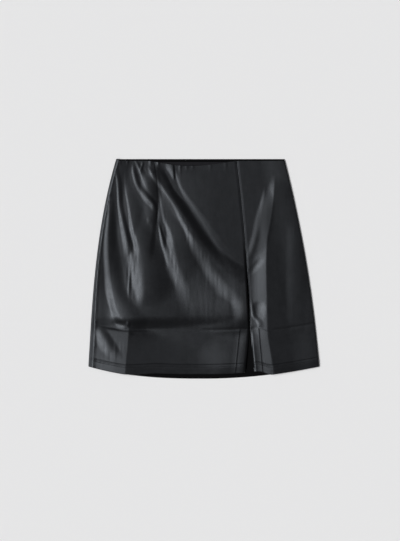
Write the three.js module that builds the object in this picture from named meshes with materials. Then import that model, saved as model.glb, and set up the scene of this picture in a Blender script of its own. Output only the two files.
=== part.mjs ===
// A short leather-look skirt lying flat on its back, front up and waist towards +Y.
// Millimetres: X runs across the hem, Y from hem to waist, Z up from the surface it lies on.
// The cloth is a closed tube pressed flat. The back panel rolls up round both side folds,
// and the two front panels lie on it, with their folds and their puffed belly.
import * as THREE from "three";

// Cut and finish of the garment
const waistWidth = 336;         // flat, side fold to side fold
const hemWidth = 461;
const fullLength = 439;         // back waist edge to the lowest point of the back hem
const waistShift = -7;          // the waist lies this far off the middle of the hem
const hipCurve = { left: 12.5, right: 9 };      // how far each side swells past a straight line
const hipLean = 0.35;           // moves the fullest point of the left side up towards the waist
const cornerRise = 24.5;        // hem corners above the lowest point of the hem
const frontHemLift = 9;         // the front hem lies this far above the back hem
const frontDip = { side: 3.5, middle: 10 };     // front waist edge below the back one, at its side and more
const frontDipPlace = { x: -32, left: 85, right: 112 };         // near its middle
const wall = 1.2;               // coated cloth
const hemWall = 2;              // where the hem is turned up
const hemTurn = 18;             // height of the turned-up hem
const hemLine = 88;             // height of the pressed line above the front hem
const hemRoll = { place: 15, up: 45, down: 15, rise: 0.5 };     // the front hem stands up a little
const seamGap = 0.3;            // between pieces at a seam and between layers
const looseness = 0.2;          // the front lies this far off what is under it
const sideFoldRadius = 2.5;
const sideFoldHeight = { left: 4.8, leftBelowLine: 3.5, right: 4.6 };
const sideSlope = { left: 30, leftBelowLine: 60, right: 50 };   // how far the rolled sides slope inwards
const settleRun = { facing: 70, hem: 40 };      // how far the front takes to sink past each thicker edge
const leftSeamInset = { waist: 6, hem: 10.5 };  // the left side seam has rolled this far to the front
const slit = { waistX: 65, topX: 92.5, bow: 16.5, top: -119, spreadLeft: 9.5, spreadRight: 8 };
const facing = { height: 30, thickness: 1, below: 6, endGap: 7 };

// Places worked out from the sizes above
const waistY = fullLength / 2;
const hemY = -fullLength / 2;
const cornerY = hemY + cornerRise;
const sideLength = waistY - cornerY;

const lerp = THREE.MathUtils.lerp;
const unit = (t) => THREE.MathUtils.clamp(t, 0, 1);
const ease = (t) => THREE.MathUtils.smoothstep(t, 0, 1);

// Rounded hill that is 1 at its centre and 0 one half-width away
function hill(distance) {
  const q = unit(Math.abs(distance));
  return (1 - q * q) ** 2;
}

// Same reach as the hill, but with a crease at its centre
function crease(distance) {
  const q = unit(Math.abs(distance));
  return (1 - q) ** 2;
}

// Outline of the skirt as it lies
function leftEdge(y) {
  const s = (waistY - y) / sideLength;
  const swell = 4 * hipCurve.left * s * (1 - s) * (1 + hipLean * (1 - 2 * s));
  return waistShift - lerp(waistWidth / 2, hemWidth / 2 + waistShift, s) - swell;
}

function rightEdge(y) {
  const s = (waistY - y) / sideLength;
  const swell = 4 * hipCurve.right * s * (1 - s);
  return waistShift + lerp(waistWidth / 2, hemWidth / 2 - waistShift, s) + swell;
}

function backTop() {
  return waistY;
}

function backHem(x) {
  const bend = x < 0 ? 2.6 : 2;
  return cornerY - cornerRise * (1 - unit(Math.abs(2 * x) / hemWidth) ** bend);
}

function frontTop(x) {
  const { x: middle, left, right } = frontDipPlace;
  return waistY - frontDip.side - frontDip.middle * hill((x - middle) / (x < middle ? left : right));
}

function frontHem(x) {
  const lift = { leftStart: -165, leftRun: 80, rightEnd: 138, rightRun: 30 };
  const rise = ease((x - lift.leftStart) / lift.leftRun) * ease((lift.rightEnd - x) / lift.rightRun);
  return backHem(x) + frontHemLift * rise;
}

// The left side seam, a little further in towards the hem
function leftSeam(y) {
  const s = (waistY - y) / sideLength;
  return leftEdge(y) + lerp(leftSeamInset.waist, leftSeamInset.hem, ease(2 * s - 0.9));
}

// The slit seam bows towards the right side, and its slit opens below the seam's end
function slitSeam(y) {
  const s = (waistY - y) / (waistY - slit.top);
  return lerp(slit.waistX, slit.topX, s) + slit.bow * s * (1 - s);
}

function slitOpening(y) {
  return unit((slit.top - y) / (slit.top - frontHem(slit.topX)));
}

function slitLeftEdge(y) {
  return slitSeam(Math.max(y, slit.top)) - seamGap / 2 - slit.spreadLeft * slitOpening(y);
}

function slitRightEdge(y) {
  return slitSeam(Math.max(y, slit.top)) + seamGap / 2 + slit.spreadRight * slitOpening(y);
}

// Folds of the front, from the left side to the right, each a short table from its top to its
// bottom. The columns are y, the crest's x, its height, and how far it slopes away to the left
// and to the right.
const foldTables = {
  side: [[180, -184.5, 0, 3, 6], [120, -188, 0.7, 5, 12], [60, -190, 1.7, 11, 20],
    [0, -187, 2.3, 14, 26], [-50, -181, 2.4, 16, 30], [-90, -169, 2.3, 15, 46],
    [-108, -157, 2.6, 19, 42], [-124, -150, 0, 24, 34]],
  second: [[212, -178, 0, 3, 6], [180, -172, 0.5, 4, 8], [120, -167, 0.95, 5.5, 9],
    [75, -157.5, 1.3, 9, 9], [38, -149, 1.2, 13, 11], [4, -144, 0, 16, 10]],
  third: [[214, -156, 0, 3.5, 6], [165, -154.5, 0.3, 5, 12], [120, -147.5, 0.8, 4.5, 28],
    [80, -139.5, 1.7, 9, 34], [42, -127, 2.5, 16, 44], [12, -119, 4, 38, 60], [-20, -117, 3.9, 31, 60],
    [-45, -117.5, 3.4, 24, 60], [-82, -121, 0, 16, 40]],
  waistSweep: [[214, -142, 0, 3, 5], [190, -139, 0.7, 5, 7], [165, -131, 0.7, 5.5, 8],
    [145, -116, 1.1, 8, 9], [128, -100, 1.6, 10, 6], [112, -95, 0, 9, 5]],
  dartLeft: [[208, -108, 0, 16, 12], [188, -106, 1.4, 20, 20], [160, -107, 1.6, 21, 22],
    [128, -103, 0.9, 20, 14], [98, -103, 1, 26, 10], [70, -105, 1.1, 34, 10], [40, -110, 0.8, 40, 12],
    [5, -114, 0, 40, 12]],
  dart: [[216, -99, -0.3, 2.5, 3], [190, -95, -0.3, 2.5, 4], [160, -92, -0.25, 2.5, 6],
    [130, -92, -0.35, 3, 8], [104, -93, -0.7, 4, 9], [82, -94.5, 0, 4, 8]],
  rightOfDart: [[172, -90, 0, 2.5, 4], [142, -85.5, 0.3, 3.5, 12], [105, -77.5, 0.75, 7, 20],
    [68, -62.5, 1.9, 12, 44], [38, -56, 3.1, 24, 60], [10, -49, 4.1, 28, 70], [-30, -30, 3.6, 31, 80],
    [-60, -22, 1.8, 34, 80], [-98, -10, 0, 36, 80]],
  diagonal: [[188, -95, 0, 3, 10], [160, -79, 0.3, 4.5, 17], [128, -57, 0.7, 6.5, 22],
    [98, -41, 1.2, 9, 23], [66, -21, 2.5, 13, 24], [36, 2, 3.1, 24, 28], [12, 18, 3, 27, 42],
    [-14, 36, 2.9, 28, 70], [-42, 60, 2.7, 30, 100], [-60, 78, 2.6, 32, 90], [-80, 84, 2.4, 28, 60],
    [-100, 84, 1.9, 26, 60], [-121, 84, 0, 24, 60]],
  hipEdge: [[216, -99, 0, 16, 14], [190, -96, 1.4, 14, 26], [172, -87, 1.4, 9, 22],
    [158, -77, 1.3, 9, 18], [128, -56, 2, 26, 21], [98, -37, 1.9, 36, 22], [66, -17, 1, 50, 24],
    [30, 4, 0, 50, 24]],
  hollow: [[208, -88, 0, 8, 10], [190, -71, -0.8, 13, 16], [160, -55, -1.2, 14, 13],
    [120, -30, -1.1, 16, 17], [90, -8, -0.9, 16, 18], [60, 12, -0.6, 16, 20], [20, 36, 0, 16, 24]],
  plateau: [[216, -59, 0.5, 4, 40], [190, -54, 0.35, 5, 60], [160, -42, 0.1, 4.5, 70],
    [125, -19, 0.1, 5, 80], [90, 4, 0.2, 7, 80], [60, 24, 0.4, 10, 60], [38, 38, 0.6, 12, 50],
    [12, 54, 0.5, 14, 40], [-14, 68, 0, 14, 30]],
  waistWedge: [[215, -63, 0.8, 16, 4], [200, -61.5, 1.5, 15, 4], [184, -60, 1, 9, 4],
    [170, -59, 0, 5, 4]],
  rightStreak: [[168, 124, 0, 4, 10], [135, 121, 1, 9, 20], [105, 116, 1.2, 14, 24],
    [70, 109, 1.2, 14, 26], [40, 99, 1, 11, 24], [16, 92, 0, 8, 16]],
  rightSide: [[190, 142, 0, 8, 30], [150, 140, 2.2, 18, 60], [105, 135, 2.6, 24, 90],
    [60, 127, 2.7, 19, 110], [20, 125, 4.1, 29, 130], [-60, 126, 4.4, 34, 140],
    [-112, 127, 4.2, 34, 140], [-135, 128.5, 4, 35, 130], [-170, 134, 4, 39, 120],
    [-212, 141, 4.3, 43, 110]],
  slitFlapLeft: [[-121, 90, 0, 20, 3], [-132, 89, 1.1, 22, 3], [-175, 84.5, 1.3, 22, 3],
    [-214, 80, 1.3, 22, 3]],
  slitFlapRight: [[-123, 96, 0, 3, 12], [-132, 97, 0.4, 3, 14], [-175, 101, 0.5, 3, 15],
    [-214, 105, 0.5, 3, 15]],
  leftBelowLine: [[-106, -149, 0, 40, 30], [-124, -149.5, 4.4, 80, 50], [-145, -151, 5.4, 82, 110],
    [-172, -153.5, 6.2, 82, 170], [-214, -157, 6.4, 78, 170]],
};

// Folds whose crest is a crease rather than round: how much, on its left and its right slope
const creased = {
  side: { left: 0.2, right: 0 },
  dart: { left: 1, right: 1 },
  rightSide: { left: 0.35, right: 0.7 },
  leftBelowLine: { left: 0.4, right: 0.9 },
};

const folds = Object.entries(foldTables).map(([name, table]) => ({
  name,
  rows: table.map(([y, x, rise, left, right]) => ({ y, x, rise, left, right })),
  sharp: creased[name] ?? { left: 0, right: 0 },
}));
const finestSlope = 5;          // narrower slopes are drawn this wide, as the panels' grid is coarse

// Puffed and sunk places, by their centre, their reach to each side and their height
const mounds = [
  { name: "belly", x: 88, y: -70, left: 136, right: 100, up: 125, down: 80, rise: 10.2 },
  { name: "left belly", x: -132, y: -92, left: 90, right: 205, up: 110, down: 30, rise: 6.4 },
  { name: "hip", x: -135, y: 125, left: 62, right: 90, up: 110, down: 120, rise: 2 },
  { name: "middle", x: -10, y: 110, left: 100, right: 90, up: 140, down: 160, rise: 1.2 },
  { name: "swell below the line", x: 64, y: -176, left: 80, right: 50, up: 50, down: 60, rise: 3 },
  { name: "pinch above the slit", x: 109, y: -76, left: 13, right: 17, up: 14, down: 34, rise: -1 },
];

// What billows left of the slit seam comes down steeply to it
const heldBySeam = { names: ["diagonal", "belly"], reach: 5 };

// Small gathers hanging from the front waist edge
const gathers = [
  { x: -106, reach: 5, length: 14, rise: 0.6 },
  { x: -91, reach: 5, length: 12, rise: 0.7 },
  { x: -47, reach: 5, length: 24, rise: 0.35 },
  { x: -34, reach: 5, length: 13, rise: 0.25 },
  { x: -22, reach: 5, length: 12, rise: 0.25 },
];

// Slope of a column of a fold's table at row i, against the way down. Level ends don't slope.
function tangent(rows, column, i, levelEnds) {
  const slope = (a, b) => (rows[b][column] - rows[a][column]) / (rows[a].y - rows[b].y);
  const last = rows.length - 1;
  if (i === 0) return levelEnds ? 0 : slope(0, 1);
  if (i === last) return levelEnds ? 0 : slope(last - 1, last);
  const before = rows[i - 1].y - rows[i].y;
  const after = rows[i].y - rows[i + 1].y;
  return (slope(i - 1, i) * after + slope(i, i + 1) * before) / (before + after);
}

// A smooth curve through one column of a fold's table
function alongFold(rows, column, y, levelEnds) {
  let i = 0;
  while (i < rows.length - 2 && y < rows[i + 1].y) i += 1;
  const span = rows[i].y - rows[i + 1].y;
  const t = unit((rows[i].y - y) / span);
  const bendStart = (1 - t) * tangent(rows, column, i, levelEnds);
  const bendEnd = t * tangent(rows, column, i + 1, levelEnds);
  return lerp(rows[i][column], rows[i + 1][column], ease(t)) + span * t * (1 - t) * (bendStart - bendEnd);
}

function foldRise({ rows, sharp }, x, y) {
  if (y > rows[0].y || y < rows[rows.length - 1].y) return 0;
  const crest = (at) => alongFold(rows, "x", at, false);
  const lean = (crest(y - 1) - crest(y + 1)) / 2;
  const across = (x - crest(y)) / Math.hypot(1, lean);
  const side = across < 0 ? "left" : "right";
  const distance = across / Math.max(alongFold(rows, side, y, true), finestSlope);
  const profile = lerp(hill(distance), crease(distance), sharp[side]);
  return alongFold(rows, "rise", y, true) * profile;
}

function moundRise(mound, x, y) {
  const across = (x - mound.x) / (x < mound.x ? mound.left : mound.right);
  const along = (y - mound.y) / (y > mound.y ? mound.up : mound.down);
  return mound.rise * hill(Math.hypot(across, along));
}

function gatherRise(gather, x, y) {
  const down = (frontTop(x) - y) / gather.length;
  return gather.rise * hill((x - gather.x) / gather.reach) * ease(1 - down);
}

// The cloth dips along the slit seam, further out on its puffed left, and along the pressed line
function seamDip(x, y) {
  const depth = 1.3;
  const reach = { left: lerp(4, 5, ease((60 - y) / 60)), right: 3 };
  if (x < slitSeam(y)) return depth * crease(Math.min(0, x - slitLeftEdge(y)) / reach.left);
  return depth * crease(Math.max(0, x - slitRightEdge(y)) / reach.right);
}

function hemLineDip(x, y) {
  const depth = 0.5;
  const reach = { above: 8, below: 6 };
  const e = y - frontHem(x) - hemLine;
  return depth * crease(e / (e > 0 ? reach.above : reach.below));
}

function hemRollRise(x, y) {
  const offset = y - frontHem(x) - hemRoll.place;
  return hemRoll.rise * hill(offset / (offset > 0 ? hemRoll.up : hemRoll.down));
}

// Thickness of the cloth at a height above its hem edge
function clothWall(aboveHem) {
  return lerp(hemWall, wall, ease((aboveHem - hemTurn) / 4 + 1));
}

// Lowest height the underside of a top layer can have: on the back panel or on its facing
function seat(x, y) {
  const facingBottom = waistY - facing.below - facing.height;
  const overFacing = ease((y - facingBottom) / settleRun.facing + 1);
  const overHem = 1 - ease((y - backHem(x) - hemTurn) / settleRun.hem);
  return wall + seamGap + overFacing * (facing.thickness + seamGap) + overHem * (hemWall - wall);
}

// Height of the top of the cloth, with the side folds, the folds of the front and its dips
function topHeight(x, y) {
  const resting = seat(x, y) + clothWall(y - frontHem(x)) + looseness;
  const flat = wall + seamGap + wall + looseness;
  const belowLine = ease((-95 - y) / 40);
  const leftReach = lerp(sideSlope.left, sideSlope.leftBelowLine, belowLine);
  const leftHeight = lerp(sideFoldHeight.left - flat, sideFoldHeight.leftBelowLine - flat, belowLine);
  const nearLeft = 1 - ease((x - leftSeam(y)) / leftReach);
  const nearRight = 1 - ease((rightEdge(y) - sideFoldRadius - x) / sideSlope.right);
  let height = resting + leftHeight * nearLeft;
  height += (sideFoldHeight.right - flat) * nearRight;
  const held = ease((slitLeftEdge(y) - x) / heldBySeam.reach);
  const share = ({ name }) => (heldBySeam.names.includes(name) ? held : 1);
  for (const fold of folds) height += share(fold) * foldRise(fold, x, y);
  for (const mound of mounds) height += share(mound) * moundRise(mound, x, y);
  for (const gather of gathers) height += gatherRise(gather, x, y);
  height += hemRollRise(x, y) - seamDip(x, y) - hemLineDip(x, y);
  return Math.max(height, resting - looseness);
}

// Underside of the cloth below topHeight, one wall down measured square to the slope
function underHeight(x, y, top) {
  const step = 1;
  const slopeX = (topHeight(x + step, y) - topHeight(x - step, y)) / (2 * step);
  const slopeY = (topHeight(x, y + step) - topHeight(x, y - step)) / (2 * step);
  const thickness = clothWall(y - frontHem(x)) * Math.hypot(1, slopeX, slopeY);
  return Math.max(top - thickness, seat(x, y));
}

// A column of a panel gives the outer and inner point of the cloth at a height y on the garment
function flatColumn(place) {
  return (y) => {
    const x = place(y);
    const top = topHeight(x, y);
    return { outer: [x, top], inner: [x, underHeight(x, y, top)] };
  };
}

// Columns that roll round a side fold. The angle is measured from level, up positive.
function roundColumn(side, angle, gapAbove = 0) {
  return (y) => {
    const edge = side === "left" ? leftEdge(y) : rightEdge(y);
    const inward = side === "left" ? 1 : -1;
    const centreX = edge + inward * sideFoldRadius;
    const half = topHeight(centreX, y) / 2;
    const reach = Math.cos(angle);
    const lift = Math.sin(angle);
    return {
      outer: [centreX - inward * sideFoldRadius * reach, half * (1 + lift) + gapAbove],
      inner: [centreX - inward * (sideFoldRadius - wall) * reach, half + (half - wall) * lift + gapAbove],
    };
  };
}

// The back panel lies on the ground, thicker at its turned-up hem
function groundColumn(share) {
  return (y) => {
    const x = lerp(rightEdge(y) - sideFoldRadius, leftEdge(y) + sideFoldRadius, share);
    return { outer: [x, 0], inner: [x, clothWall(y - backHem(x))] };
  };
}

// Rows from waist to hem, closer together where the cloth is busier. A row is 0 at the top edge,
// 1 at the pressed line and 2 at the hem.
function closerRows(stretches) {
  const rows = [0];
  for (const { to, count } of stretches) {
    const from = rows[rows.length - 1];
    for (let i = 1; i <= count; i++) rows.push(lerp(from, to, i / count));
  }
  return rows;
}

// Evenly counted steps from 0 to 1, drawn closer together at the start by a bias above 1
function steps(count, bias = 1) {
  return Array.from({ length: count + 1 }, (_, i) => (i / count) ** bias);
}

// The point of a column on a row, between edges that all curve
function settle(column, row, { top, line, hem }) {
  let y = lerp(waistY, cornerY, row / 2);
  for (let i = 0; i < 5; i++) {
    const x = column(y).outer[0];
    y = row < 1 ? lerp(top(x), line(x), row) : lerp(line(x), hem(x), row - 1);
  }
  const { outer, inner } = column(y);
  return {
    outer: new THREE.Vector3(outer[0], y, outer[1]),
    inner: new THREE.Vector3(inner[0], y, inner[1]),
  };
}

// A closed wall of cloth from a grid of outer and inner points. Each cell is split along the
// diagonal whose ends are nearer in height, and both faces of the wall share that split.
function clothGeometry(columns, rows, edges) {
  const grid = rows.map((row) => columns.map((column) => settle(column, row, edges)));
  const positions = [];
  for (const row of grid) for (const point of row) positions.push(...point.outer, ...point.inner);
  const lastRow = grid.length - 1;
  const lastColumn = columns.length - 1;
  const outer = (row, column) => 2 * (row * columns.length + column);
  const inner = (row, column) => outer(row, column) + 1;
  const faces = [];
  const quad = (a, b, c, d, splitAtA = true) => {
    if (splitAtA) faces.push(a, b, c, a, c, d);
    else faces.push(a, b, d, b, c, d);
  };
  for (let r = 0; r < lastRow; r++) {
    for (let c = 0; c < lastColumn; c++) {
      const z = (row, column) => grid[row][column].outer.z;
      const alongA = Math.abs(z(r, c) - z(r + 1, c + 1)) <= Math.abs(z(r + 1, c) - z(r, c + 1));
      quad(outer(r, c), outer(r + 1, c), outer(r + 1, c + 1), outer(r, c + 1), alongA);
      quad(inner(r, c), inner(r, c + 1), inner(r + 1, c + 1), inner(r + 1, c), alongA);
    }
  }
  for (let c = 0; c < lastColumn; c++) {
    quad(outer(0, c), outer(0, c + 1), inner(0, c + 1), inner(0, c));
    quad(outer(lastRow, c + 1), outer(lastRow, c), inner(lastRow, c), inner(lastRow, c + 1));
  }
  for (let r = 0; r < lastRow; r++) {
    quad(outer(r, 0), inner(r, 0), inner(r + 1, 0), outer(r + 1, 0));
    quad(outer(r + 1, lastColumn), inner(r + 1, lastColumn), inner(r, lastColumn), outer(r, lastColumn));
  }
  const geometry = new THREE.BufferGeometry();
  geometry.setAttribute("position", new THREE.Float32BufferAttribute(positions, 3));
  geometry.setIndex(faces);
  geometry.computeVertexNormals();
  return geometry;
}

// Materials
const coatedCloth = new THREE.MeshStandardMaterial({ color: "#242427", roughness: 0.36, metalness: 0 });
const facingCloth = new THREE.MeshStandardMaterial({ color: "#1a1a1d", roughness: 0.85, metalness: 0 });

// Rows of every panel, so that neighbours meet row by row
const panelRows = closerRows([
  { to: 0.15, count: 6 },
  { to: 0.9, count: 22 },
  { to: 1, count: 5 },
  { to: 1.2, count: 3 },
  { to: 1.8, count: 4 },
  { to: 2, count: 2 },
]);
const frontEdges = { top: frontTop, line: (x) => frontHem(x) + hemLine, hem: frontHem };
const backEdges = { top: backTop, line: (x) => backHem(x) + hemLine, hem: backHem };

// The large front panel, from the left side seam to the slit seam
function frontPanel() {
  const edgeStep = 3;
  const from = (y) => leftSeam(y) + seamGap / 2;
  const middle = steps(52, 1.15).map((share) => flatColumn(
    (y) => lerp(from(y) + edgeStep, slitLeftEdge(y) - edgeStep, share)));
  const columns = [flatColumn(from), ...middle, flatColumn(slitLeftEdge)];
  return clothGeometry(columns, panelRows, frontEdges);
}

// The narrow front panel, from the slit seam to the seam on the right side fold
function frontSidePanel() {
  const edgeStep = 3;
  const to = (y) => rightEdge(y) - sideFoldRadius;
  const middle = steps(14).map((share) => flatColumn(
    (y) => lerp(slitRightEdge(y) + edgeStep, to(y), share)));
  const fold = [60, 30, 0].map((degrees) => roundColumn(
    "right", THREE.MathUtils.degToRad(degrees), degrees === 0 ? seamGap / 2 : 0));
  return clothGeometry([flatColumn(slitRightEdge), ...middle, ...fold], panelRows, frontEdges);
}

// The back panel, from the right side fold under the skirt and up round the left side fold
function backPanel() {
  const rightFold = [0, -30, -60].map((degrees) => roundColumn(
    "right", THREE.MathUtils.degToRad(degrees), degrees === 0 ? -seamGap / 2 : 0));
  const ground = steps(8).map(groundColumn);
  const leftFold = [-60, -30, 0, 30, 60].map((degrees) => roundColumn(
    "left", THREE.MathUtils.degToRad(degrees)));
  const flap = [0, 1].map((share) => flatColumn(
    (y) => lerp(leftEdge(y) + sideFoldRadius, leftSeam(y) - seamGap / 2, share)));
  return clothGeometry([...rightFold, ...ground, ...leftFold, ...flap], panelRows, backEdges);
}

// The strip of facing inside the back waist, which shows above the sunken front edge
function backWaistFacing() {
  const low = wall + seamGap;
  const top = () => waistY - facing.below;
  const bottom = () => waistY - facing.below - facing.height;
  const columns = steps(12).map((share) => (y) => {
    const x = lerp(leftEdge(y) + facing.endGap, rightEdge(y) - facing.endGap, share);
    return { outer: [x, low + facing.thickness], inner: [x, low] };
  });
  return clothGeometry(columns, steps(2), { top, line: bottom, hem: bottom });
}

const pieces = [
  { name: "front_panel", geometry: frontPanel(), material: coatedCloth },
  { name: "front_side_panel", geometry: frontSidePanel(), material: coatedCloth },
  { name: "back_panel", geometry: backPanel(), material: coatedCloth },
  { name: "back_waist_facing", geometry: backWaistFacing(), material: facingCloth },
];

const group = new THREE.Group();
for (const { name, geometry, material } of pieces) {
  const mesh = new THREE.Mesh(geometry, material);
  mesh.name = name;
  group.add(mesh);
}

export default group;
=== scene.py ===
# Leather mini skirt lying flat on its back, front up. Sizes are in mm until meshes are made.
import math

import bpy
import numpy as np
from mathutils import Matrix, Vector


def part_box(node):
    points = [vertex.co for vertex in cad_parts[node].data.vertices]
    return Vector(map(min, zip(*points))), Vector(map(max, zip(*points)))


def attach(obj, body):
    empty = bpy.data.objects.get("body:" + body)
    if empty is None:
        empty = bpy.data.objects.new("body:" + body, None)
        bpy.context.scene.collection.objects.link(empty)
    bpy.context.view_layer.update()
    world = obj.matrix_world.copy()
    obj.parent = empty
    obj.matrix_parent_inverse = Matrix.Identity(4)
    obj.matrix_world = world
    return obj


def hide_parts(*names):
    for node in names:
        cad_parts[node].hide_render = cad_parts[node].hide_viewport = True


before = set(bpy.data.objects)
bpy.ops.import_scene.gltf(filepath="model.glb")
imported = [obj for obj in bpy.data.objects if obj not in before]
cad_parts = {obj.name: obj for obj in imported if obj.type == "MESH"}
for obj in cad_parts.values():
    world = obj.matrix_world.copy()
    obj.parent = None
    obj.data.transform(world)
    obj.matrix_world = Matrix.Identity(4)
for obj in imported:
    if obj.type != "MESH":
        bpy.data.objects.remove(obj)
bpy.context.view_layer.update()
mm = 0.001
print("frame loaded")

# The cut, as in the part: the box of the back panel gives its width and length
backLow, backHigh = [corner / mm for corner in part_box("back_panel")]
skirt = {
    "waistWidth": 336,        # flat, side fold to side fold
    "hemWidth": backHigh.x - backLow.x,
    "length": backHigh.y - backLow.y,
    "waistShift": -7,         # waist off the middle of the hem
    "hipCurveLeft": 12.5,
    "hipCurveRight": 9,
    "hipLean": 0.35,
    "cornerRise": 24.5,
    "hemBendLeft": 2.6,       # how late the hem curve turns up towards each side
    "hemBendRight": 2.0,
    "frontHemLift": 9,        # front hem above the back hem
    "sideDip": 3.5,           # front waist edge below the back one
    "waistDip": 10,           # and how much more near its middle
    "wall": 1.2,
    "hemWall": 2.0,
    "hemTurn": 18,
    "hemLine": 88,            # pressed line above the front hem
    "seamGap": 0.3,
    "sideFoldRadius": 2.5,
    "leftFoldHeight": 4.8,
    "rightFoldHeight": 4.6,
    "slitTop": -119,
    "slitLeftSpread": 9.5,
    "slitRightSpread": 8,
}
facing = {
    "height": 30, "thickness": 1, "below": 6, "endGap": 7,
    "columns": 120, "rows": 14, "edgeRadius": 0.4, "edgeShare": 0.45,
}
waistY = skirt["length"] / 2
hemY = -skirt["length"] / 2
cornerY = hemY + skirt["cornerRise"]
sideLength = waistY - cornerY


def lerp(a, b, t):
    return a + (b - a) * t


def ease(t):
    t = np.clip(t, 0, 1)
    return t * t * (3 - 2 * t)


def hill(distance):        # 1 at the middle, rounded, 0 one half-width away
    q = np.clip(np.abs(distance), 0, 1)
    return (1 - q * q) ** 2


def crease(distance):      # same reach, but creased at the middle
    return (1 - np.clip(np.abs(distance), 0, 1)) ** 2


# Outline
def leftEdge(y):
    s = (waistY - y) / sideLength
    swell = 4 * skirt["hipCurveLeft"] * s * (1 - s) * (1 + skirt["hipLean"] * (1 - 2 * s))
    half = lerp(skirt["waistWidth"] / 2, skirt["hemWidth"] / 2 + skirt["waistShift"], s)
    return skirt["waistShift"] - half - swell


def rightEdge(y):
    s = (waistY - y) / sideLength
    swell = 4 * skirt["hipCurveRight"] * s * (1 - s)
    half = lerp(skirt["waistWidth"] / 2, skirt["hemWidth"] / 2 - skirt["waistShift"], s)
    return skirt["waistShift"] + half + swell


def backTop(x):
    return waistY + 0 * x


def backHem(x):
    bend = np.where(x < 0, skirt["hemBendLeft"], skirt["hemBendRight"])
    toSide = np.clip(np.abs(2 * x) / skirt["hemWidth"], 0, 1)
    return cornerY - skirt["cornerRise"] * (1 - toSide ** bend)


waistSag = {"lowest": -32, "left": 85, "right": 112}   # place of the front waist's dip and its reach


def frontTop(x):
    reach = np.where(x < waistSag["lowest"], waistSag["left"], waistSag["right"])
    return waistY - skirt["sideDip"] - skirt["waistDip"] * hill((x - waistSag["lowest"]) / reach)


hemLift = {"left": -165, "leftReach": 80, "right": 138, "rightReach": 30}   # the hems part between


def frontHem(x):
    fromLeft = ease((x - hemLift["left"]) / hemLift["leftReach"])
    fromRight = ease((hemLift["right"] - x) / hemLift["rightReach"])
    return backHem(x) + skirt["frontHemLift"] * fromLeft * fromRight


# The left side seam has rolled to the front: how far in, at the waist and from the given share
# of the way down
sideSeam = {"top": 6, "low": 10.5, "from": 0.45, "over": 0.5}


def leftSeam(y):
    s = (waistY - y) / sideLength
    low = ease((s - sideSeam["from"]) / sideSeam["over"])
    return leftEdge(y) + lerp(sideSeam["top"], sideSeam["low"], low)


seamLine = {"top": 65, "lean": 44, "bend": 16.5}   # the slit seam, from the waist to the slit


def slitSeam(y):
    s = (waistY - y) / (waistY - skirt["slitTop"])
    return seamLine["top"] + seamLine["lean"] * s - seamLine["bend"] * s * s


def slitOpening(y):
    top = skirt["slitTop"]
    return np.clip((top - y) / (top - frontHem(slitSeam(top))), 0, 1)


def slitLeftEdge(y):
    seam = slitSeam(np.maximum(y, skirt["slitTop"]))
    return seam - skirt["seamGap"] / 2 - skirt["slitLeftSpread"] * slitOpening(y)


def slitRightEdge(y):
    seam = slitSeam(np.maximum(y, skirt["slitTop"]))
    return seam + skirt["seamGap"] / 2 + skirt["slitRightSpread"] * slitOpening(y)


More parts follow.
